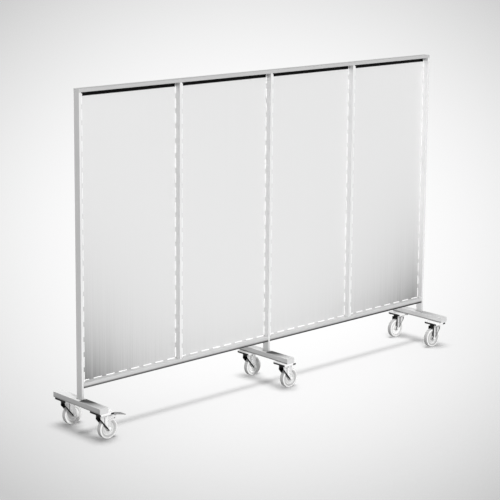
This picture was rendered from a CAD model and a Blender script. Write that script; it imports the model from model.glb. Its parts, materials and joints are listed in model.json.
"""Looks of a rolling partition: finishes, weld beads, lathed wheels, hardware and studio.

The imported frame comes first. Every length is in metres on the frame's own axes, but for the wheels'
half sections, which are in millimetres: X runs along the wall, -Y is the front and Z = 0 is the floor.
"""
import sys
import json
import logging
import math
from dataclasses import dataclass
from enum import Enum
from typing import Any, Iterable, Mapping, Sequence

import bmesh
import bpy
from mathutils import Matrix, Vector

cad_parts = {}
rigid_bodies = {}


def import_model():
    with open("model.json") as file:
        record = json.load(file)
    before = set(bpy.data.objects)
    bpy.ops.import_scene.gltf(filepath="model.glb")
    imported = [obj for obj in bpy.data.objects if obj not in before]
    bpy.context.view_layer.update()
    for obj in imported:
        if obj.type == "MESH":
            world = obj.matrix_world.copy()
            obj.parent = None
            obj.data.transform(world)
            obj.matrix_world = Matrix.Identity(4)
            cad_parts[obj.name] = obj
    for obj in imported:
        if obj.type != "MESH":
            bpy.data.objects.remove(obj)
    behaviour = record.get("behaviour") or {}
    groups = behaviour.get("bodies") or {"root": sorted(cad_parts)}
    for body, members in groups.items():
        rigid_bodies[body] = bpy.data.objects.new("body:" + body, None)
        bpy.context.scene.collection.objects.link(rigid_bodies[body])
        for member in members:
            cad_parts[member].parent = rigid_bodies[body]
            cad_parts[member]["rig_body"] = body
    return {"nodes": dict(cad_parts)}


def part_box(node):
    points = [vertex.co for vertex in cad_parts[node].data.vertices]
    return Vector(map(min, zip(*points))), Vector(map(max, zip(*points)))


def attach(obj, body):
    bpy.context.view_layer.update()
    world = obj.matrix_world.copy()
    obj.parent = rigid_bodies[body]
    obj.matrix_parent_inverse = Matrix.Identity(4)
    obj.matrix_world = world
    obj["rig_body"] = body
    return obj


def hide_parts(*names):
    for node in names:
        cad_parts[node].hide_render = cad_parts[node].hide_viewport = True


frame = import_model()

LOG = logging.getLogger("partition")
Given = Mapping[Any, Any] | None
Pair = tuple[float, float]
Triple = tuple[float, float, float]
Colour = Triple
Seam = tuple[Vector, Vector, Vector]

WHITE: Colour = (1.0, 1.0, 1.0)
NOISE_MIDDLE = 0.5
NOISE_ROUGHNESS = 0.55
MERGE_DISTANCE = 1e-6
FLAT_ANGLE = math.radians(0.6)
BEVEL_ANGLE = math.radians(40.0)
BEVEL_FACES = 2
CORNER_ANGLE = math.radians(32.0)


# ---- shader and geometry trees ----


class Sock:
    """A socket that takes part in arithmetic; each operation adds its Math nodes."""

    def __init__(self, graph: "Graph", socket: bpy.types.NodeSocket) -> None:
        """Keeps the socket and the graph that it belongs to."""
        self.graph = graph
        self.socket = socket

    def _math(self, operation: str, *terms: Any) -> "Sock":
        """Adds one Math node on those terms and returns its result."""
        return self.graph.value("ShaderNodeMath", {"operation": operation}, dict(enumerate(terms)))

    def __add__(self, other: Any) -> "Sock":
        """Returns the sum."""
        return self._math("ADD", self, other)

    def __radd__(self, other: Any) -> "Sock":
        """Returns the sum with a number on the left."""
        return self._math("ADD", other, self)

    def __sub__(self, other: Any) -> "Sock":
        """Returns the difference."""
        return self._math("SUBTRACT", self, other)

    def __rsub__(self, other: Any) -> "Sock":
        """Returns the difference from a number on the left."""
        return self._math("SUBTRACT", other, self)

    def __mul__(self, other: Any) -> "Sock":
        """Returns the product."""
        return self._math("MULTIPLY", self, other)

    def __rmul__(self, other: Any) -> "Sock":
        """Returns the product with a number on the left."""
        return self._math("MULTIPLY", other, self)

    def __truediv__(self, other: Any) -> "Sock":
        """Returns the quotient."""
        return self._math("DIVIDE", self, other)

    def __pow__(self, other: Any) -> "Sock":
        """Returns the power."""
        return self._math("POWER", self, other)

    def __neg__(self) -> "Sock":
        """Returns the value with its sign turned."""
        return self._math("MULTIPLY", self, -1.0)

    def absolute(self) -> "Sock":
        """Returns the value without its sign."""
        return self._math("ABSOLUTE", self)

    def exponent(self) -> "Sock":
        """Returns e to the power of the value."""
        return self._math("EXPONENT", self)

    def least(self, other: Any) -> "Sock":
        """Returns the smaller of two values."""
        return self._math("MINIMUM", self, other)

    def most(self, other: Any) -> "Sock":
        """Returns the larger of two values."""
        return self._math("MAXIMUM", self, other)

    def fade(self, reach: float) -> "Sock":
        """Returns 1 at 0, and less by a factor e for each reach."""
        return (self * (-1.0 / reach)).exponent()

    def bell(self) -> "Sock":
        """Returns 1 at 0, and less on both sides of it."""
        return (-(self * self)).exponent()

    def swing(self, share: float) -> "Sock":
        """Turns noise around its middle into a change around 0."""
        return (self - NOISE_MIDDLE) * share

    def step(self, low: float, high: float) -> "Sock":
        """Eases from 0 to 1 between two values."""
        inputs = {"Value": self, "From Min": low, "From Max": high}
        return self.graph.value("ShaderNodeMapRange", {"interpolation_type": "SMOOTHSTEP"}, inputs, "Result")

    def drop(self, low: float, high: float) -> "Sock":
        """Eases from 1 to 0 between two values."""
        return 1.0 - self.step(low, high)

    def within(self, low: float, high: float, blur: float) -> "Sock":
        """Returns 1 between two values and 0 outside them, eased over a blur past each."""
        return self.step(low, low + blur) * self.drop(high, high + blur)


Point = tuple[Sock, Sock, Sock]


class Tree:
    """A node tree, with the one method that makes each of its nodes."""

    def __init__(self, tree: bpy.types.NodeTree) -> None:
        """Keeps a tree, without the nodes that it came with."""
        self.tree = tree
        tree.nodes.clear()

    def node(self, kind: str, settings: Given = None, inputs: Given = None) -> bpy.types.NodeOutputs:
        """Adds a node.

        Args:
            kind: the node's type.
            settings: properties that are set first.
            inputs: values or links of its sockets, by name or index.

        Returns:
            The node's outputs.
        """
        made = self.tree.nodes.new(kind)
        for key, setting in (settings or {}).items():
            setattr(made, key, setting)
        for key, entry in (inputs or {}).items():
            source = entry.socket if isinstance(entry, Sock) else entry
            if isinstance(source, bpy.types.NodeSocket):
                self.tree.links.new(source, made.inputs[key])
            else:
                made.inputs[key].default_value = source
        return made.outputs


class Graph(Tree):
    """The shader tree of a material or of the world."""

    def __init__(self, owner: bpy.types.Material | bpy.types.World) -> None:
        """Starts the owner's shader tree.

        Args:
            owner: the material or world.
        """
        owner.use_nodes = True
        super().__init__(owner.node_tree)
        self.owner = owner

    def value(self, kind: str, settings: Given = None, inputs: Given = None, output: Any = 0) -> Sock:
        """Adds a node and returns one of its outputs, by name or index."""
        return Sock(self, self.node(kind, settings, inputs)[output])

    def place(self) -> Point:
        """Finds the surface point on the object.

        Returns:
            Its X, Y and Z.
        """
        point = self.value("ShaderNodeTexCoord", output="Object")
        parts = self.node("ShaderNodeSeparateXYZ", None, {0: point})
        return tuple(Sock(self, parts[axis]) for axis in range(3))

    def noise(self, scale: Sequence[float], detail: float) -> Sock:
        """Makes noise that is stretched along the object's axes.

        Args:
            scale: noise cells per metre along X, Y and Z.
            detail: number of finer layers.

        Returns:
            Noise around its middle.
        """
        point = self.value("ShaderNodeTexCoord", output="Object")
        mapped = self.value("ShaderNodeMapping", None, {"Vector": point, "Scale": scale})
        return self.value("ShaderNodeTexNoise", None, {
            "Vector": mapped, "Scale": 1.0, "Detail": detail, "Roughness": NOISE_ROUGHNESS})

    def blend(self, mask: Sock, first: Colour, second: Colour) -> Sock:
        """Returns the first colour where the mask is 0 and the second where it is 1."""
        return self.value("ShaderNodeMix", {"data_type": "RGBA"},
                          {0: mask, 6: (*first, 1.0), 7: (*second, 1.0)}, 2)

    def tint(self, level: Sock, tone: Colour) -> Sock:
        """Returns a brightness as a colour with the tone's proportions."""
        grey = self.value("ShaderNodeCombineColor", None, {0: level, 1: level, 2: level})
        return self.value("ShaderNodeVectorMath", {"operation": "MULTIPLY"}, {0: grey, 1: tone})

    def bump(self, height: Sock, depth: float) -> Sock:
        """Returns a normal bumped by a height from 0 to 1, which is that many metres deep."""
        return self.value("ShaderNodeBump", None,
                          {"Height": height, "Strength": 1.0, "Distance": depth}, "Normal")

    def surface(self, inputs: Mapping[str, Any]) -> bpy.types.Material:
        """Closes the tree with the main shader.

        Args:
            inputs: values or links of the main shader's sockets.

        Returns:
            The finished material.
        """
        shader = self.value("ShaderNodeBsdfPrincipled", None, inputs)
        self.node("ShaderNodeOutputMaterial", None, {"Surface": shader})
        return self.owner


class Recipe(Tree):
    """A Geometry Nodes tree with named inputs, which ends realised and dressed."""

    def __init__(self, name: str, sizes: Mapping[str, float]) -> None:
        """Makes the tree's sockets.

        Args:
            name: the tree's name.
            sizes: named sizes with their usual values, in metres or as counts.
        """
        super().__init__(bpy.data.node_groups.new(name, "GeometryNodeTree"))
        add_socket = self.tree.interface.new_socket
        add_socket(name="Geometry", in_out="INPUT", socket_type="NodeSocketGeometry")
        for label, size in sizes.items():
            add_socket(name=label, in_out="INPUT", socket_type="NodeSocketFloat").default_value = size
        finish = add_socket(name="Finish", in_out="INPUT", socket_type="NodeSocketMaterial")
        add_socket(name="Geometry", in_out="OUTPUT", socket_type="NodeSocketGeometry")
        self.finish_key = finish.identifier
        self.given = self.node("NodeGroupInput")

    def close(self, geometry: bpy.types.NodeSocket) -> None:
        """Realises what the tree made, gives it its finish and sends it out.

        Args:
            geometry: what the tree made.
        """
        real = self.node("GeometryNodeRealizeInstances", None, {0: geometry})[0]
        dressed = self.node("GeometryNodeSetMaterial", None,
                            {"Geometry": real, "Material": self.given["Finish"]})[0]
        self.node("NodeGroupOutput", None, {0: dressed})

    def bake(self, name: str, base: bpy.types.Mesh, finish: bpy.types.Material) -> bpy.types.Mesh:
        """Runs the tree on a mesh.

        Args:
            name: the new mesh's name.
            base: the mesh that the tree reads.
            finish: the material that the result wears.

        Returns:
            The result as a plain mesh.
        """
        carrier = linked(name + "_carrier", base)
        modifier = carrier.modifiers.new("Recipe", "NODES")
        modifier.node_group = self.tree
        modifier[self.finish_key] = finish
        return flat_mesh(carrier, name)


def linked(name: str, data: bpy.types.ID) -> bpy.types.Object:
    """Puts an object into the scene.

    Args:
        name: the object's name.
        data: its mesh, lamp or camera.

    Returns:
        The new object.
    """
    made = bpy.data.objects.new(name, data)
    bpy.context.scene.collection.objects.link(made)
    return made


def flat_mesh(carrier: bpy.types.Object, name: str) -> bpy.types.Mesh:
    """Turns an object with live modifiers into a plain mesh, and removes the object.

    Args:
        carrier: the object.
        name: the new mesh's name.

    Returns:
        The mesh that the modifiers made.
    """
    graph = bpy.context.evaluated_depsgraph_get()
    mesh = bpy.data.meshes.new_from_object(carrier.evaluated_get(graph), depsgraph=graph)
    mesh.name = name
    bpy.data.objects.remove(carrier)
    return mesh


# ---- finishes ----


class Grain(Enum):
    """The way that the brush lines of a metal run."""

    ALONG_X = (4.0, 500.0, 500.0)
    ALONG_Y = (500.0, 4.0, 500.0)
    ALONG_Z = (500.0, 500.0, 4.0)
    NONE = (90.0, 90.0, 90.0)


def mixed(mask: Any, first: Any, second: Any) -> Any:
    """Returns the first value where the mask is 0 and the second where it is 1."""
    return first + mask * (second - first)


@dataclass(frozen=True)
class Metal:
    """Satin steel with fine brush lines; each kind of tube adds its own shading."""

    name: str
    grain: Grain = Grain.NONE
    level: float = 0.7
    metallic: float = 0.35
    roughness: float = 0.42
    skin: Pair = (0.0002, 0.0018)
    line_detail: float = 2.0
    line_swing: float = 0.14
    cloud_scale: Triple = (9.0, 9.0, 9.0)
    cloud_detail: float = 3.0
    cloud_swing: float = 0.1
    gloss_swing: float = 0.25
    relief: float = 0.00006
    dim: Pair = (0.03, 0.12)

    def shade(self, point: Point) -> Any:
        """Returns the level at a point of the surface; plain metal has one level."""
        return self.level

    def near(self, depth: Sock) -> Sock:
        """Returns 1 on a flat side and 0 past its rounded edge, by the depth behind the side."""
        return depth.drop(*self.skin)

    def material(self) -> bpy.types.Material:
        """Makes the material, which turns to pure metal where its shade is dim.

        Returns:
            The finish as a material.
        """
        graph = Graph(bpy.data.materials.new(self.name))
        lines = graph.noise(self.grain.value, self.line_detail)
        clouds = graph.noise(self.cloud_scale, self.cloud_detail)
        shade = self.shade(graph.place())
        level = (1.0 + lines.swing(self.line_swing) + clouds.swing(self.cloud_swing)) * shade
        metallic = self.metallic
        if isinstance(shade, Sock):
            metallic = mixed(shade.drop(*self.dim), self.metallic, 1.0)
        return graph.surface({
            "Base Color": graph.tint(level, WHITE),
            "Metallic": metallic,
            "Roughness": self.roughness + lines.swing(self.gloss_swing),
            "Normal": graph.bump(lines, self.relief),
        })


@dataclass(frozen=True)
class PostMetal(Metal):
    """A post: its left side has its own level, and it darkens towards the foot."""

    left: float = 0.0
    side_level: float = 0.6
    foot: float = 0.207
    foot_reach: float = 0.07
    foot_depth: float = 0.3

    def shade(self, point: Point) -> Sock:
        """Returns the level at a point of the surface."""
        level = mixed(self.near(point[0] - self.left), self.level, self.side_level)
        return level * (1.0 - (point[2] - self.foot).fade(self.foot_reach) * self.foot_depth)


@dataclass(frozen=True)
class RailMetal(Metal):
    """A rail: its top has its own level, and its front may end in a dark lower edge."""

    low: float = 0.0
    high: float = 0.0
    top_level: float = 0.6
    edge_depth: float = 0.0
    edge_slope: float = 0.0
    edge_reach: float = 0.0125
    edge_power: float = 4.0

    def shade(self, point: Point) -> Sock:
        """Works out the level of the surface.

        Args:
            point: the surface point.

        Returns:
            The level there.
        """
        x, _, z = point
        level = mixed(self.near(self.high - z), self.level, self.top_level)
        depth = x * self.edge_slope + self.edge_depth
        rise = (z - self.low) * (1.0 / self.edge_reach)
        return level * (1.0 - (-(rise ** self.edge_power)).exponent() * depth)


@dataclass(frozen=True)
class FootMetal(Metal):
    """A foot: a darker left side with a dark lower edge, and a shadow in front of the post."""

    left: float = 0.0
    low: float = 0.172
    high: float = 0.207
    side_level: float = 0.5
    width: float = 0.06
    post_front: float = -0.025
    post_edge: Pair = (-0.004, 0.001)
    patch_depth: float = 1.3
    patch_reach: float = 0.125
    patch_left: float = 0.6
    patch_gain: float = 0.5
    patch_limit: float = 0.97
    front_depth: float = 0.05
    edge_depth: float = 0.6
    edge_reach: float = 0.007

    def shade(self, point: Point) -> Sock:
        """Works out the level of the surface.

        Args:
            point: the surface point.

        Returns:
            The level there.
        """
        x, y, z = point
        ahead = self.post_front - y
        reach = ahead * (1.0 / self.patch_reach)
        across = (x - self.left) * (self.patch_gain / self.width) + self.patch_left
        patch = reach.bell() * across * self.patch_depth + self.front_depth
        top = self.level * (1.0 - (patch * ahead.step(*self.post_edge)).least(self.patch_limit))
        level = mixed(self.near(self.high - z), self.level, top)
        level = mixed(self.near(x - self.left), level, self.side_level)
        rise = (z - self.low) * (1.0 / self.edge_reach)
        return level * (1.0 - rise.bell() * self.edge_depth)


@dataclass(frozen=True)
class BeadMetal(Metal):
    """The weld beads: bright on the panels, in shade round the posts' feet."""

    split: Pair = (0.24, 0.26)
    foot_level: float = 0.1

    def shade(self, point: Point) -> Sock:
        """Returns the level at a point of the surface."""
        return mixed(point[2].step(*self.split), self.foot_level, self.level)


@dataclass(frozen=True)
class PlateMetal(Metal):
    """A plate under a foot, whose left edge, bearing and overhanging front lie in shade."""

    left: float = 0.0
    front: float = 0.0
    overhang: float = 0.0
    overhang_blur: float = 0.004
    y: float = 0.0
    race: Pair = (0.1574, 0.1578)
    inner: Pair = (0.0205, 0.0211)
    dark: float = 0.03

    def shade(self, point: Point) -> Sock:
        """Works out the level of the surface.

        Args:
            point: the surface point.

        Returns:
            The level there.
        """
        x, y, z = point
        level = mixed(self.near(x - self.left), self.level, self.dark)
        front = self.near(y - self.front) * x.step(self.overhang, self.overhang + self.overhang_blur)
        level = mixed(front, level, self.dark)
        inside = (y - self.y).absolute().drop(*self.inner)
        return mixed(inside * z.drop(*self.race), level, self.dark)


@dataclass(frozen=True)
class PadMetal(Metal):
    """The pads under the feet: their left sides, and their fronts past the forks, end in shade."""

    middles: tuple[float, ...] = ()
    half: float = 0.05
    front: float = 0.0
    outside: Pair = (-0.002, -0.001)
    split: float = 0.167
    split_blur: float = 0.0006
    clear: Pair = (0.02, 0.052)
    clear_blur: float = 0.002
    dark: float = 0.02

    def side(self, depth: Sock) -> Sock:
        """Returns 1 on a side and 0 behind and before it."""
        return self.near(depth) * depth.step(*self.outside)

    def shade(self, point: Point) -> Any:
        """Works out the level of the surface; the first pad's left side is dark over its full height.

        Args:
            point: the surface point.

        Returns:
            The level there.
        """
        x, y, z = point
        low = z.drop(self.split - self.split_blur, self.split + self.split_blur)
        front = self.side(y - self.front)
        level: Any = self.level
        for index, middle in enumerate(self.middles):
            along = x - middle
            left = self.side(along + self.half)
            if index > 0:
                left = left * low
            past = along.within(*self.clear, self.clear_blur)
            level = mixed(left.most(front * past * low), level, self.dark)
        return level


@dataclass(frozen=True)
class ForkMetal(Metal):
    """A pressed fork: dark between its legs and along the edges that turn inward."""

    x: float = 0.0
    y: float = 0.0
    way: float = 1.0
    inner: Pair = (0.0205, 0.0211)
    head: Pair = (0.1428, 0.1436)
    corner: Pair = (-0.029, 0.122)
    foot: Pair = (0.0268, 0.0548)
    fold: Pair = (0.005625, 0.0075)
    heel: float = 0.042
    nose: Pair = (-0.019, -0.017)
    near_share: float = 0.85
    rib: Pair = (0.002, 0.02)
    rib_blur: float = 0.002
    rib_share: float = 0.45
    crease: Pair = (-0.003, 0.002)
    crease_blur: float = 0.001
    crease_depth: float = 0.0
    dark: float = 0.015

    def shade(self, point: Point) -> Sock:
        """Works out the level of the surface.

        Args:
            point: the surface point.

        Returns:
            The level there.
        """
        x, y, z = point
        along = (x - self.x) * self.way
        out = (y - self.y).absolute()
        rib = along.within(*self.rib, self.rib_blur)
        crease = along.within(*self.crease, self.crease_blur)
        level = self.level * (1.0 - rib * (1.0 - self.rib_share)) * (1.0 - crease * self.crease_depth)
        run, fall = self.foot[0] - self.corner[0], self.corner[1] - self.foot[1]
        behind = (along - self.corner[0]) * fall + (z - self.corner[1]) * run
        fold = (behind * (1.0 / math.hypot(run, fall))).drop(*self.fold)
        if self.way < 0:
            nose = along.drop(*self.nose)
            fold = (self.heel - along).drop(*self.fold).most(fold.most(nose) * self.near_share)
        level = mixed(fold * z.drop(*self.head), level, self.dark)
        return mixed(out.drop(*self.inner), level, self.dark)


@dataclass(frozen=True)
class PedalMetal(Metal):
    """The brake pedal: its underside and the lower half of its sides lie in shade."""

    x: float = 0.0
    start: Pair = (0.02, 0.1345)
    tip: Pair = (0.0995, 0.1235)
    edge: Pair = (-0.0012, 0.0002)
    dark: float = 0.015

    def shade(self, point: Point) -> Sock:
        """Works out the level of the surface.

        Args:
            point: the surface point.

        Returns:
            The level there.
        """
        x, _, z = point
        slope = (self.tip[1] - self.start[1]) / (self.tip[0] - self.start[0])
        above = z - ((x - (self.x + self.start[0])) * slope + self.start[1])
        return mixed(above.step(*self.edge), self.dark, self.level)


@dataclass(frozen=True)
class SheetFinish:
    """Brushed sheet with upright lines, darker towards the wall's lower corners and under its top."""

    name: str = "brushed_sheet"
    level: float = 0.89
    metallic: float = 0.2
    roughness: float = 0.5
    end: float = 1.485
    foot: float = 0.305
    left_depth: float = 0.4
    left_reach: float = 0.38
    right_depth: float = 0.315
    right_reach: float = 0.475
    rise: float = 0.325
    foot_depth: float = 0.04
    foot_rise: float = 0.12
    top: float = 2.005
    band: Pair = (0.0255, 0.0285)
    band_share: float = 0.01
    face: float = 0.017
    face_edge: Pair = (0.0002, 0.0008)
    gamma: float = 2.2
    darkest: float = 0.05
    fine_scale: Triple = (420.0, 40.0, 3.0)
    broad_scale: Triple = (110.0, 10.0, 0.9)
    streak_detail: float = 2.0
    fine_swing: float = 0.5
    broad_swing: float = 0.55
    streak_share: float = 0.012
    gloss_swing: float = 0.2
    relief: float = 0.00004

    def material(self) -> bpy.types.Material:
        """Makes the material.

        Returns:
            The finish as a material.
        """
        graph = Graph(bpy.data.materials.new(self.name))
        x, y, z = graph.place()
        front = (y - self.face).drop(*self.face_edge)
        band = front * (self.top - z).drop(*self.band)
        height = z - self.foot
        low = height.fade(self.rise)
        left = (x + self.end).fade(self.left_reach) * self.left_depth
        right = (self.end - x).fade(self.right_reach) * self.right_depth
        foot = height.fade(self.foot_rise) * self.foot_depth
        fine = graph.noise(self.fine_scale, self.streak_detail)
        broad = graph.noise(self.broad_scale, self.streak_detail)
        streaks = fine.swing(self.fine_swing) + broad.swing(self.broad_swing)
        shade = ((left + right) * low + foot) * (1.0 + streaks) * front
        level = (self.level - shade + streaks * self.streak_share).most(self.darkest) ** self.gamma
        level = mixed(band, level, level * self.band_share)
        return graph.surface({
            "Base Color": graph.tint(level, WHITE),
            "Metallic": mixed(band, self.metallic, 1.0),
            "Roughness": self.roughness + fine.swing(self.gloss_swing),
            "Normal": graph.bump(fine, self.relief),
        })


@dataclass(frozen=True)
class WheelFinish:
    """White moulded plastic of one wheel, shaded in rings round its axle.

    Each ring gives its radius, its half width and the share of the level that it leaves.
    """

    name: str
    x: float
    level: float
    rings: tuple[Triple, ...]
    roughness: float = 0.4
    axle_height: float = 0.0625
    tone: Colour = (1.0, 1.0, 0.995)
    cloud_scale: Triple = (220.0, 220.0, 220.0)
    cloud_detail: float = 4.0
    cloud_swing: float = 0.06
    gloss_swing: float = 0.15
    relief: float = 0.00005

    def material(self) -> bpy.types.Material:
        """Makes the material.

        Returns:
            The finish as a material.
        """
        graph = Graph(bpy.data.materials.new(self.name))
        x, _, z = graph.place()
        across, rise = x - self.x, z - self.axle_height
        reach = (across * across + rise * rise) ** 0.5
        clouds = graph.noise(self.cloud_scale, self.cloud_detail)
        level = self.level * (1.0 + clouds.swing(self.cloud_swing))
        for radius, half, share in self.rings:
            off = (reach - radius) * (1.0 / half)
            level = level * (1.0 - off.bell() * (1.0 - share))
        return graph.surface({
            "Base Color": graph.tint(level, self.tone),
            "Roughness": self.roughness + clouds.swing(self.gloss_swing),
            "Normal": graph.bump(clouds, self.relief),
        })


# ---- meshes and pieces ----


def paint(node: bpy.types.Object, finish: bpy.types.Material) -> None:
    """Puts a finish into each of a node's material slots.

    Args:
        node: the node's object.
        finish: its material.
    """
    if not node.material_slots:
        node.data.materials.append(finish)
    for slot in node.material_slots:
        slot.material = finish


def piece(name: str, mesh: bpy.types.Mesh, body: str,
          finish: bpy.types.Material | None = None, replaced: Iterable[str] = ()) -> None:
    """Puts a finished mesh into the scene.

    Args:
        name: the piece's name.
        mesh: its mesh, in place.
        body: the body that it rides on.
        finish: its material, where the mesh has none yet.
        replaced: the nodes that it stands for.
    """
    made = linked(name, mesh)
    if finish is not None:
        mesh.materials.clear()
        mesh.materials.append(finish)
    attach(made, body)
    if replaced:
        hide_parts(*replaced)
    LOG.info("%s: %d faces on %s", name, len(mesh.polygons), body)


def softened(node: str, width: float) -> bpy.types.Mesh:
    """Copies a node's mesh and breaks its sharp edges.

    Args:
        node: the node's name.
        width: width of the broken edge.

    Returns:
        The copy with rounded edges.
    """
    mesh = frame["nodes"][node].data.copy()
    work = bmesh.new()
    work.from_mesh(mesh)
    bmesh.ops.remove_doubles(work, verts=work.verts, dist=MERGE_DISTANCE)
    bmesh.ops.dissolve_limit(work, angle_limit=FLAT_ANGLE, verts=work.verts, edges=work.edges)
    for face in work.faces:
        face.smooth = True
    work.to_mesh(mesh)
    work.free()
    carrier = linked(node + "_carrier", mesh)
    bevel = carrier.modifiers.new("Edges", "BEVEL")
    bevel.width = width
    bevel.segments = BEVEL_FACES
    bevel.limit_method = "ANGLE"
    bevel.angle_limit = BEVEL_ANGLE
    bevel.harden_normals = True
    return flat_mesh(carrier, node + "_soft")


def lathed(name: str, half: Sequence[Pair], place: Matrix, steps: int) -> bpy.types.Mesh:
    """Turns a section with two equal halves around the Y axis.

    Args:
        name: the mesh's name.
        half: radius and distance along the axis of each corner of one half, in millimetres.
        place: where the axis goes.
        steps: faces round the axis.

    Returns:
        The turned mesh, smooth but for its corners.
    """
    whole = [*half, *((r, -y) for r, y in reversed(half))]
    profile = [(r / 1000, y / 1000) for r, y in whole]
    work = bmesh.new()
    rings = []
    for step in range(steps):
        turn = 2 * math.pi * step / steps
        rings.append([work.verts.new((r * math.cos(turn), y, r * math.sin(turn))) for r, y in profile])
    count = len(profile)
    for step in range(steps):
        near, far = rings[step], rings[(step + 1) % steps]
        for index in range(count):
            after = (index + 1) % count
            face = work.faces.new((near[index], near[after], far[after], far[index]))
            face.smooth = True
    bmesh.ops.recalc_face_normals(work, faces=work.faces)
    for edge in work.edges:
        if len(edge.link_faces) == 2 and edge.calc_face_angle() > CORNER_ANGLE:
            edge.smooth = False
    work.transform(place)
    mesh = bpy.data.meshes.new(name)
    work.to_mesh(mesh)
    work.free()
    return mesh


@dataclass
class Frame:
    """The welded frame with its panels and feet: finishes on the nodes and the weld beads.

    A rail's four numbers are its front's and top's levels, and its lower edge's depth and slope.
    """

    length: float = 3.0
    post_width: float = 0.015
    bays: int = 4
    front: float = -0.025
    panel_face: float = 0.017
    panel_bottom: float = 0.305
    panel_top: float = 2.005
    clearance: float = 0.0001
    weld_leg: float = 0.007
    weld_length: float = 0.055
    weld_pitch: float = 0.09
    weld_margin: float = 0.01
    ripple_pitch: float = 0.006
    ripple_reach: float = 0.0045
    ripple_half: float = 0.004
    ripple_rise: float = 0.0012
    strip_front: float = -0.0245
    foot_top: float = 0.207
    long_posts: tuple[int, ...] = (0, 2, 4)
    post_front: float = 0.86
    post_side: Pair = (0.68, 0.96)
    top_rail: tuple[float, ...] = (0.575, 0.36, 0.0, 0.0)
    bottom_rail: tuple[float, ...] = (0.6, 0.6, 0.93, 0.047)
    foot_level: float = 0.76
    foot_side: Triple = (0.45, 0.51, 0.72)
    foot_patch: Triple = (1.3, 1.25, 0.35)
    foot_front: Triple = (0.05, 0.05, 0.2)
    foot_edge: Triple = (0.6, 0.88, 0.92)
    plate_overhang: float = 0.02
    pad_shade: float = 0.0065

    def post_x(self, index: int) -> float:
        """Returns the place of a post's axis along the wall."""
        return (index - self.bays / 2) * (self.length - self.post_width) / self.bays

    def weld_row(self, edge: float) -> list[float]:
        """Spreads stitch welds over an edge.

        Args:
            edge: the edge's length.

        Returns:
            The welds' centres, measured from the middle of the edge.
        """
        run = edge - 2 * self.weld_margin - self.weld_length
        steps = round(run / self.weld_pitch)
        return [(i / steps - 0.5) * run for i in range(steps + 1)]

    def finish(self, name: str, low: Vector, high: Vector) -> Metal | SheetFinish:
        """Chooses a node's finish.

        Args:
            name: the node's name.
            low: the lowest corner of its box.
            high: the highest corner of its box.

        Returns:
            The finish, with its sides where the box has them.
        """
        if name.startswith("panel_"):
            return SheetFinish()
        if name.endswith("_post") or name == "side_strips":
            share = (low.x + self.length / 2) / self.length
            return PostMetal("tube_" + name, Grain.ALONG_Z, self.post_front, left=low.x,
                             side_level=mixed(share * share, *self.post_side))
        if name == "top_rail" or name.startswith("bottom_rail"):
            front, top, depth, slope = self.top_rail if name == "top_rail" else self.bottom_rail
            return RailMetal("tube_" + name, Grain.ALONG_X, front, low=low.z, high=high.z, top_level=top,
                             edge_depth=depth, edge_slope=slope)
        if name.endswith("_foot"):
            index = ("left_foot", "centre_foot", "right_foot").index(name)
            return FootMetal("bar_" + name, Grain.ALONG_Y, self.foot_level, left=low.x,
                             side_level=self.foot_side[index], patch_depth=self.foot_patch[index],
                             front_depth=self.foot_front[index], edge_depth=self.foot_edge[index])
        if name.endswith("top_plate"):
            return PlateMetal("zinc_" + name, level=0.8, metallic=0.5, left=low.x, front=low.y,
                              overhang=(low.x + high.x) / 2 + self.plate_overhang, y=(low.y + high.y) / 2)
        if name == "mounting_pads":
            middles = [(low + high).x / 2 for low, high in (
                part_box(f"{foot}_front_top_plate") for foot in ("left", "centre", "right"))]
            return PadMetal("zinc_" + name, level=0.95, metallic=0.3, middles=tuple(middles),
                            half=high.x - middles[-1], front=low.y, split=low.z + self.pad_shade)
        if name.endswith("_caps"):
            return Metal("steel_" + name, level=0.68)
        return Metal("zinc_" + name, level=0.72, metallic=0.6, roughness=0.34)

    def dress(self) -> None:
        """Gives every node of the frame its finish."""
        for name, node in frame["nodes"].items():
            if node["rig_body"] == "frame":
                paint(node, self.finish(name, *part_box(name)).material())

    def seams(self) -> list[Seam]:
        """Places the stitch welds of the panels and the welds at the posts' feet.

        Returns:
            For each weld its two ends and the way that it faces.
        """
        half = self.weld_length / 2
        middle = (self.panel_bottom + self.panel_top) / 2
        height = self.panel_top - self.panel_bottom - 2 * self.clearance
        inset = self.weld_leg / 2
        found = []
        for bay in range(self.bays):
            left = self.post_x(bay) + self.post_width / 2 + self.clearance
            right = self.post_x(bay + 1) - self.post_width / 2 - self.clearance
            centre = (left + right) / 2
            for z in self.weld_row(height):
                span = [Vector((0, 0, middle + z + side * half)) for side in (-1, 1)]
                corner = Vector((right - inset, self.panel_face - inset, 0))
                found.append((span[0] + corner, span[1] + corner, Vector((-1, -1, 0))))
                nose = Vector((left + inset, self.strip_front, 0))
                found.append((span[0] + nose, span[1] + nose, Vector((0, -1, 0))))
            for x in self.weld_row(right - left):
                for side in (-1, 1):
                    z = middle + side * (height / 2 - inset)
                    y = self.panel_face - inset
                    ends = [Vector((centre + x + end * half, y, z)) for end in (-1, 1)]
                    found.append((ends[0], ends[1], Vector((0, -1, -side))))
        return found + self.foot_seams()

    def foot_seams(self) -> list[Seam]:
        """Places the welds round the long posts where they stand on the feet.

        Returns:
            For each weld its two ends and the way that it faces.
        """
        found = []
        deep, wide = -self.front, self.post_width / 2
        for index in self.long_posts:
            x = self.post_x(index)
            for way in (-1, 1):
                found.append((Vector((x + way * wide, -deep, self.foot_top)),
                              Vector((x + way * wide, deep, self.foot_top)), Vector((way, 0, 1))))
                found.append((Vector((x - wide, way * deep, self.foot_top)),
                              Vector((x + wide, way * deep, self.foot_top)), Vector((0, way, 1))))
        return found

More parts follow.
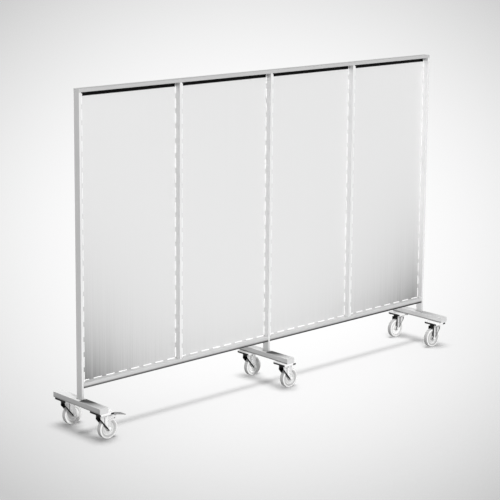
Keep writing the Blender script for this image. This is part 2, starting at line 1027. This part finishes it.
    def beads(self) -> None:
        """Lays the rippled beads on the welds."""
        seams = self.seams()
        base = bpy.data.meshes.new("seam_lines")
        corners = [tuple(end) for seam in seams for end in seam[:2]]
        base.from_pydata(corners, [(2 * i, 2 * i + 1) for i in range(len(seams))], [])
        facing = base.attributes.new("facing", "FLOAT_VECTOR", "POINT")
        ways = [seam[2].normalized() for seam in seams for _ in range(2)]
        facing.data.foreach_set("vector", [part for way in ways for part in way])
        recipe = Recipe("weld_ripples", {"Pitch": self.ripple_pitch, "Reach": self.ripple_reach,
                                         "Half width": self.ripple_half, "Rise": self.ripple_rise})
        given = recipe.given
        curve = recipe.node("GeometryNodeMeshToCurve", None, {0: given["Geometry"]})[0]
        spread = recipe.node("GeometryNodeCurveToPoints", {"mode": "LENGTH"},
                             {"Curve": curve, "Length": given["Pitch"]})
        out = recipe.node("GeometryNodeInputNamedAttribute", {"data_type": "FLOAT_VECTOR"},
                          {"Name": "facing"})[0]
        upright = recipe.node("FunctionNodeAlignRotationToVector", {"axis": "Z"}, {"Vector": out})[0]
        turned = recipe.node("FunctionNodeAlignRotationToVector", {"axis": "X", "pivot_axis": "Z"},
                             {"Rotation": upright, "Vector": spread["Tangent"]})[0]
        size = recipe.node("ShaderNodeCombineXYZ", None,
                           {0: given["Reach"], 1: given["Half width"], 2: given["Rise"]})[0]
        ripple = recipe.node("GeometryNodeMeshUVSphere", None, {"Segments": 8, "Rings": 4, "Radius": 1.0})[0]
        smooth = recipe.node("GeometryNodeSetShadeSmooth", None, {0: ripple})[0]
        recipe.close(recipe.node("GeometryNodeInstanceOnPoints", None, {
            "Points": spread["Points"], "Instance": smooth, "Rotation": turned, "Scale": size})[0])
        finish = BeadMetal("weld_bead", level=0.92, metallic=0.2, roughness=0.5).material()
        piece("stitch_beads", recipe.bake("stitch_beads", base, finish), "frame")


@dataclass
class Caster:
    """One swivel caster: lathed wheel, broken edges and finishes."""

    name: str
    core_half: tuple[Pair, ...] = (
        (8.1, 19.3), (8.6, 19.5), (13.2, 19.5), (14.4, 19.1), (15.0, 18.0), (15.6, 11.5), (17.2, 7.6),
        (19.0, 7.0), (22.6, 7.0), (23.2, 7.9), (24.6, 7.9), (25.2, 7.0), (30.6, 7.0), (31.2, 7.9),
        (32.8, 7.9), (33.4, 7.0), (38.8, 7.0), (40.4, 7.8), (42.4, 13.2), (43.6, 14.5), (52.6, 14.5),
        (53.6, 14.0), (54.0, 13.0))
    core_steps: int = 72
    core_level: float = 0.7
    core_level_rear: float = 0.97
    core_rings: tuple[Triple, ...] = (
        (0.046, 0.0042, 0.6), (0.031, 0.003, 0.8), (0.0165, 0.003, 0.7))
    tread_seat: tuple[Pair, ...] = ((54.05, 15.6), (54.5, 16.0))
    tread_centre: Pair = (57.5, 11.0)
    shoulder: float = 5.0
    shoulder_faces: int = 8
    tread_steps: int = 96
    tread_level: float = 0.9
    tread_rings: tuple[Triple, ...] = ((0.0635, 0.0025, 0.5), (0.0536, 0.0008, 0.5))
    rib_shares: Pair = (1.2, 0.4)
    creases: Pair = (0.7, 0.0)
    broken_edge: float = 0.0005
    pedal_edge: float = 0.0006

    def centre(self, node: str) -> Vector:
        """Returns the middle of one of the caster's nodes."""
        low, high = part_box(f"{self.name}_{node}")
        return (low + high) / 2

    def tread_half(self) -> list[Pair]:
        """Rounds the tread's shoulder, whose middle is tread_centre.

        Returns:
            Half of the tread's section, as lathed takes it.
        """
        curve = []
        for step in range(self.shoulder_faces + 1):
            turn = math.radians(90 * step / self.shoulder_faces)
            curve.append((self.tread_centre[0] + self.shoulder * math.sin(turn),
                          self.tread_centre[1] + self.shoulder * math.cos(turn)))
        return [*self.tread_seat, *curve]

    def build(self) -> None:
        """Builds and dresses the caster."""
        name = self.name
        swivel, wheel = name + "_swivel", name + "_wheel"
        axle, pivot = self.centre("wheel_core"), self.centre("top_plate")
        place = Matrix.Translation(axle)
        level = self.core_level_rear if name.endswith("rear") else self.core_level
        core = WheelFinish(f"white_core_{name}", axle.x, level, self.core_rings)
        piece(name + "_core_moulding", lathed(name + "_core", self.core_half, place, self.core_steps), wheel,
              core.material(), [name + "_wheel_core"])
        tread = WheelFinish(f"pale_tread_{name}", axle.x, self.tread_level, self.tread_rings, roughness=0.55)
        piece(name + "_tread_moulding", lathed(name + "_tread", self.tread_half(), place, self.tread_steps),
              wheel, tread.material(), [name + "_tread"])
        way = math.copysign(1.0, axle.x - pivot.x)
        side = 0 if way > 0 else 1
        fork = ForkMetal(f"zinc_fork_{name}", level=0.78, metallic=0.6, roughness=0.3, x=pivot.x, y=pivot.y,
                         way=way, rib_share=self.rib_shares[side], crease_depth=self.creases[side])
        hardware = Metal(f"zinc_axle_{name}", level=0.95, metallic=0.35, roughness=0.3)
        for part, title, slot, finish in (("fork", "fork_pressing", "fork_steel", fork),
                                          ("axle_set", "axle_hardware", "fastener_steel", hardware)):
            piece(f"{name}_{title}", softened(f"{name}_{part}", self.broken_edge), swivel,
                  finish.material(), [f"{name}_{part}"])
        pedal = name + "_brake_pedal"
        if pedal in frame["nodes"]:
            steel = PedalMetal(f"zinc_pedal_{name}", level=0.3, metallic=0.5, roughness=0.4,
                               x=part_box(pedal)[0].x)
            piece(name + "_pedal_pressing", softened(pedal, self.pedal_edge), name + "_pedal",
                  steel.material(), [pedal])


@dataclass
class BallRaces:
    """The ball crowns between the forks' heads and the top plates."""

    radius: float = 0.0235
    ball: float = 0.0026
    count: int = 16

    def build(self, casters: Sequence[Caster]) -> None:
        """Sets a ring of balls round every swivel axis.

        Args:
            casters: the casters, which give the places of the rings.
        """
        low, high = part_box("swivel_bearings")
        base = bpy.data.meshes.new("swivel_centres")
        places = [caster.centre("top_plate") for caster in casters]
        base.from_pydata([(p.x, p.y, (low.z + high.z) / 2) for p in places], [], [])
        recipe = Recipe("ball_crown", {"Radius": self.radius, "Ball": self.ball, "Count": float(self.count)})
        given = recipe.given
        ring = recipe.node("GeometryNodeMeshCircle", None,
                           {"Vertices": given["Count"], "Radius": given["Radius"]})[0]
        rings = recipe.node("GeometryNodeInstanceOnPoints", None,
                            {"Points": given["Geometry"], "Instance": ring})[0]
        spots = recipe.node("GeometryNodeRealizeInstances", None, {0: rings})[0]
        ball = recipe.node("GeometryNodeMeshUVSphere", None,
                           {"Segments": 14, "Rings": 8, "Radius": given["Ball"]})[0]
        smooth = recipe.node("GeometryNodeSetShadeSmooth", None, {0: ball})[0]
        recipe.close(recipe.node("GeometryNodeInstanceOnPoints", None,
                                 {"Points": spots, "Instance": smooth})[0])
        finish = Metal("bright_balls", level=0.6, metallic=0.9, roughness=0.2).material()
        piece("swivel_balls", recipe.bake("swivel_balls", base, finish), "frame",
              None, ["swivel_bearings"])


# ---- studio ----


@dataclass(frozen=True)
class Lamp:
    """A far lamp: its heading, 0 at the front and 90 at the left, its height and its disc in degrees."""

    name: str
    strength: float
    heading: float
    height: float
    spread: float

    def hang(self, lit: bpy.types.Collection, shading: bpy.types.Collection | None = None) -> None:
        """Puts the lamp into the scene.

        Args:
            lit: the objects that it lights.
            shading: the objects that cast its shadow, or None for all.
        """
        lamp = bpy.data.lights.new(self.name, "SUN")
        lamp.energy = self.strength
        lamp.angle = math.radians(self.spread)
        side, rise = math.radians(self.heading), math.radians(self.height)
        toward = Vector((-math.sin(side) * math.cos(rise), -math.cos(side) * math.cos(rise), math.sin(rise)))
        made = linked(self.name, lamp)
        made.rotation_euler = toward.to_track_quat("Z", "Y").to_euler()
        made.light_linking.receiver_collection = lit
        made.light_linking.blocker_collection = shading


@dataclass
class Studio:
    """Pale floor, soft lamps and the camera; the picture's own places are in its pixels."""

    eye: Triple = (-6.895, -7.214, 3.141)
    heading: float = 43.028
    dip: float = 9.613
    roll: float = 0.452
    focal: float = 1603.0
    centre: Pair = (249.6, 160.3)
    image: float = 500.0
    sensor: float = 36.0
    sight: float = 400.0
    ambient: float = 0.5
    backdrop: float = 0.85
    floor_reach: float = 90.0
    floor_level: float = 1.03
    floor_matt: float = 0.12
    floor_bounce: float = 0.065
    pool: Pair = (256.0, 237.5)
    pool_reach: Pair = (722.0, 603.0)
    pool_near: float = 0.5
    pool_limit: float = 0.3
    pool_power: float = 1.25
    gamma: float = 2.2
    key: Lamp = Lamp("key", strength=2.3, heading=15.0, height=30.0, spread=5.0)
    overhead: Lamp = Lamp("overhead", strength=0.82, heading=0.0, height=88.0, spread=12.0)
    back_fill: Lamp = Lamp("back_fill", strength=1.3, heading=180.0, height=8.0, spread=20.0)
    rail_wash: Lamp = Lamp("rail_wash", strength=8.3, heading=0.0, height=89.9, spread=16.0)
    foot_wash: Lamp = Lamp("foot_wash", strength=13.0, heading=0.0, height=89.9, spread=34.0)

    def axes(self) -> tuple[Vector, Vector, Vector]:
        """Works out how the camera is turned.

        Returns:
            The view's right, up and forward directions.
        """
        az, el, roll = (math.radians(v) for v in (self.heading, self.dip, self.roll))
        ahead = Vector((math.sin(az) * math.cos(el), math.cos(az) * math.cos(el), -math.sin(el)))
        right = Vector((math.cos(az), -math.sin(az), 0.0))
        up = right.cross(ahead)
        tilted = right * math.cos(roll) + up * math.sin(roll)
        upright = up * math.cos(roll) - right * math.sin(roll)
        return tilted, upright, ahead

    @property
    def floor_lit(self) -> float:
        """Returns the level that the lamps and the soft light give the open floor."""
        washes = self.rail_wash.strength + self.foot_wash.strength
        return self.floor_matt * (washes / math.pi + self.ambient)

    def camera(self) -> None:
        """Places the camera at the photograph's viewing angle."""
        lens = bpy.data.cameras.new("camera")
        lens.sensor_width = self.sensor
        lens.lens = self.focal / self.image * lens.sensor_width
        lens.shift_x = (self.image / 2 - self.centre[0]) / self.image
        lens.shift_y = (self.centre[1] - self.image / 2) / self.image
        lens.clip_end = self.sight
        right, up, ahead = self.axes()
        turn = Matrix((right, up, -ahead)).transposed().to_4x4()
        made = linked("camera", lens)
        made.matrix_world = Matrix.Translation(self.eye) @ turn
        bpy.context.scene.camera = made

    def floor(self) -> bpy.types.Object:
        """Lays the floor.

        Returns:
            The floor's object.
        """
        mesh = bpy.data.meshes.new("floor")
        reach = self.floor_reach
        mesh.from_pydata([(-reach, -reach, 0), (reach, -reach, 0), (reach, reach, 0), (-reach, reach, 0)],
                         [], [(0, 1, 2, 3)])
        floor = linked("floor", mesh)
        graph = Graph(bpy.data.materials.new("pale_floor"))
        facing, through = self.seen(graph)
        seen = facing.most(through)
        colour = graph.blend(seen, (self.floor_bounce,) * 3, (self.floor_matt,) * 3)
        matt = graph.value("ShaderNodeBsdfDiffuse", None, {"Color": colour})
        white = (self.pool_level(graph) - self.floor_lit) * seen
        glow = graph.value("ShaderNodeEmission", None, {"Color": graph.tint(white, WHITE)})
        both = graph.value("ShaderNodeAddShader", None, {0: matt, 1: glow})
        graph.node("ShaderNodeOutputMaterial", None, {"Surface": both})
        mesh.materials.append(graph.owner)
        return floor

    def pool_level(self, graph: Graph) -> Sock:
        """Spreads a wide pool of light over the floor, which fades evenly towards its rim.

        Args:
            graph: the floor's graph.

        Returns:
            The floor's level.
        """
        x, y, _ = graph.place()
        start = Vector(self.eye)
        right, up, ahead = ((x * way.x + y * way.y - start.dot(way)) for way in self.axes())
        depth = ahead.most(self.pool_near)
        across = (right / depth) * (self.focal / self.pool_reach[0]) + (
            (self.centre[0] - self.pool[0]) / self.pool_reach[0])
        along = (up / depth) * (self.focal / self.pool_reach[1]) - (
            (self.centre[1] - self.pool[1]) / self.pool_reach[1])
        fall = (across * across + along * along).least(self.pool_limit) ** self.pool_power
        return ((1.0 - fall) ** self.gamma) * self.floor_level

    def seen(self, graph: Graph) -> tuple[Sock, Sock]:
        """Marks the rays that show the background.

        Args:
            graph: the floor's or the world's graph.

        Returns:
            The shares of camera and glossy rays together, and of transmission rays.
        """
        path = graph.node("ShaderNodeLightPath")
        camera, glossy, through = (Sock(graph, path[f"Is {kind} Ray"]) for kind in (
            "Camera", "Glossy", "Transmission"))
        return camera.most(glossy), through

    def world(self) -> None:
        """Surrounds the scene with soft even light, under a paler background."""
        world = bpy.data.worlds.new("studio")
        bpy.context.scene.world = world
        graph = Graph(world)
        strength = graph.value("ShaderNodeMapRange", None, {
            "Value": self.seen(graph)[0], "To Min": self.ambient, "To Max": self.backdrop}, "Result")
        back = graph.value("ShaderNodeBackground", None, {"Color": (*WHITE, 1.0), "Strength": strength})
        graph.node("ShaderNodeOutputWorld", None, {"Surface": back})

    def build(self) -> None:
        """Builds the studio around the finished object."""
        scene = bpy.context.scene
        scene.view_settings.view_transform = "Standard"
        wares, rails, feet = (bpy.data.collections.new(name) for name in ("wares", "rails", "feet"))
        for item in list(scene.objects):
            if item.type == "MESH":
                wares.objects.link(item)
                if item.name.startswith("bottom_rail"):
                    rails.objects.link(item)
                if item.name.endswith(("_foot", "_pads", "_moulding")) or "fork" in item.name:
                    feet.objects.link(item)
        ground = bpy.data.collections.new("ground")
        ground.objects.link(self.floor())
        self.key.hang(wares)
        self.overhead.hang(wares)
        self.back_fill.hang(wares)
        self.rail_wash.hang(ground, rails)
        self.foot_wash.hang(ground, feet)
        self.world()
        self.camera()


def main() -> None:
    """Builds the sub-assemblies in order."""
    logging.basicConfig(level=logging.INFO, format="%(name)s: %(message)s", stream=sys.stdout)
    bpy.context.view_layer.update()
    body = Frame()
    body.dress()
    body.beads()
    casters = [Caster(f"{foot}_{side}")
               for foot in ("left", "centre", "right") for side in ("front", "rear")]
    for caster in casters:
        caster.build()
    BallRaces().build(casters)
    Studio().build()


if __name__ == "__main__":
    main()
